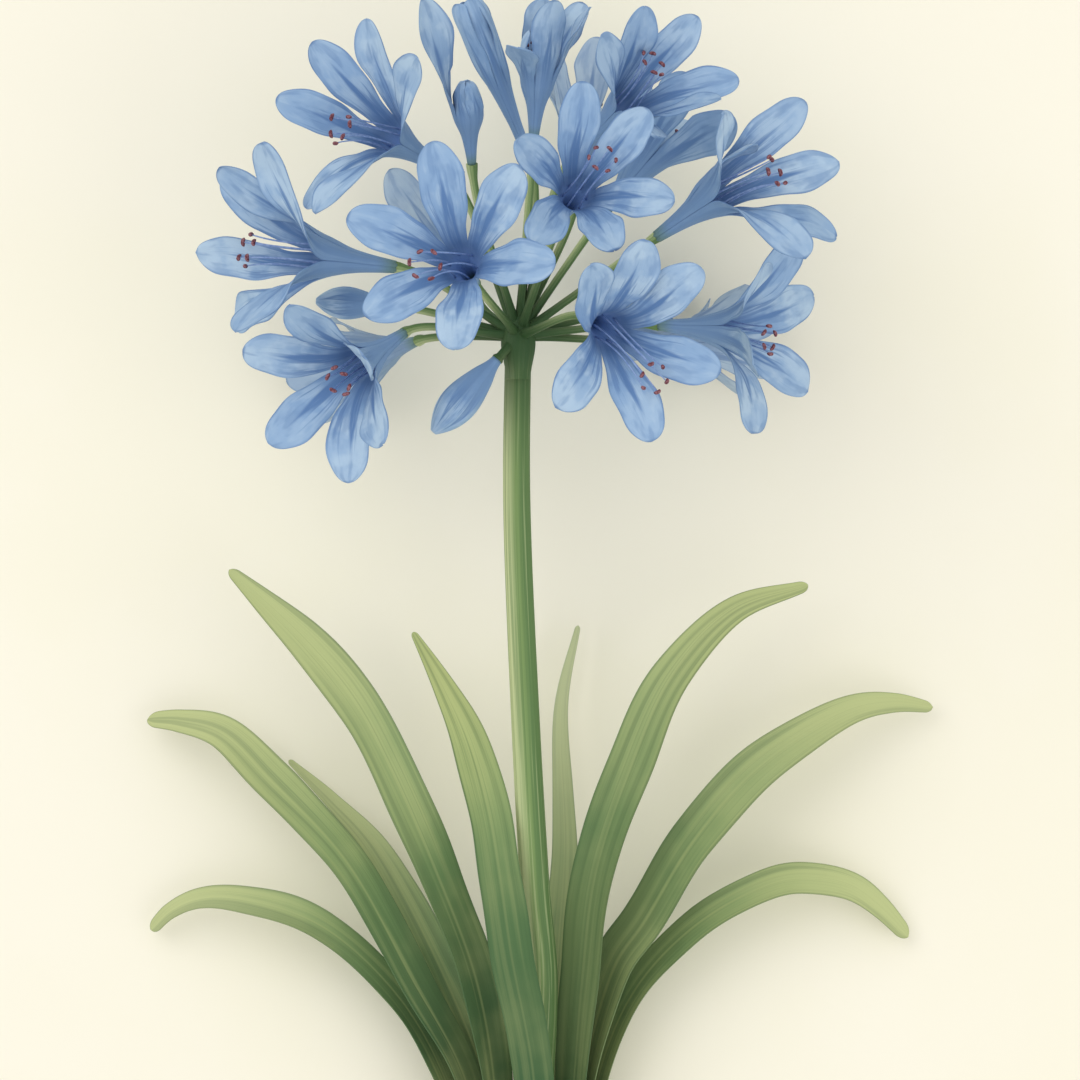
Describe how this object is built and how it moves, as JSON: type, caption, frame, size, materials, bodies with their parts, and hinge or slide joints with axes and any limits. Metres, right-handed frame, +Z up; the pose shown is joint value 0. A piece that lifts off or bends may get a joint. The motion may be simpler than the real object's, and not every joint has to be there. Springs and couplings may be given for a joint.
{
  "type": "agapanthus plant",
  "caption": "Cut agapanthus plant lying down, with arching strap leaves round one scape and an open umbel of blue florets and buds on pedicels.",
  "frame": {"origin": "on the surface that the plant lies on, under the middle of its bounding box", "axes": "+Y along the scape, from the cut crown to the umbel; +Z up from the surface; +X to the right of both"},
  "size_m": [0.24, 0.3732, 0.1485],
  "materials": {
    "crown": "matte",
    "leaf": "satin",
    "leaf_behind": "satin",
    "scape": "satin",
    "petal": "matte",
    "petal_behind": "matte",
    "bud": "matte"
  },
  "bodies": {
    "root": {"crown": "crown", "leaf_left_high": "leaf", "leaf_left_middle": "leaf", "leaf_left_low": "leaf", "leaf_left_behind": "leaf_behind", "leaf_centre": "leaf", "leaf_centre_behind": "leaf_behind", "leaf_right_high": "leaf", "leaf_right_middle": "leaf", "leaf_right_low": "leaf", "scape": "scape", "floret_front_left": "petal", "floret_front_top": "petal", "floret_front_right": "petal", "floret_left": "petal", "floret_top_left": "petal", "floret_top_half_open": "petal", "floret_top": "petal", "floret_top_middle": "petal", "floret_top_right": "petal", "floret_right": "petal", "floret_right_low": "petal", "floret_left_low": "petal", "floret_back_left": "petal_behind", "floret_back_right": "petal", "floret_back_top": "petal_behind", "floret_back_left_low": "petal_behind", "floret_back_right_low": "petal_behind", "floret_back_middle": "petal_behind", "bud_low": "bud", "bud_left": "bud"}
  },
  "joints": []
}
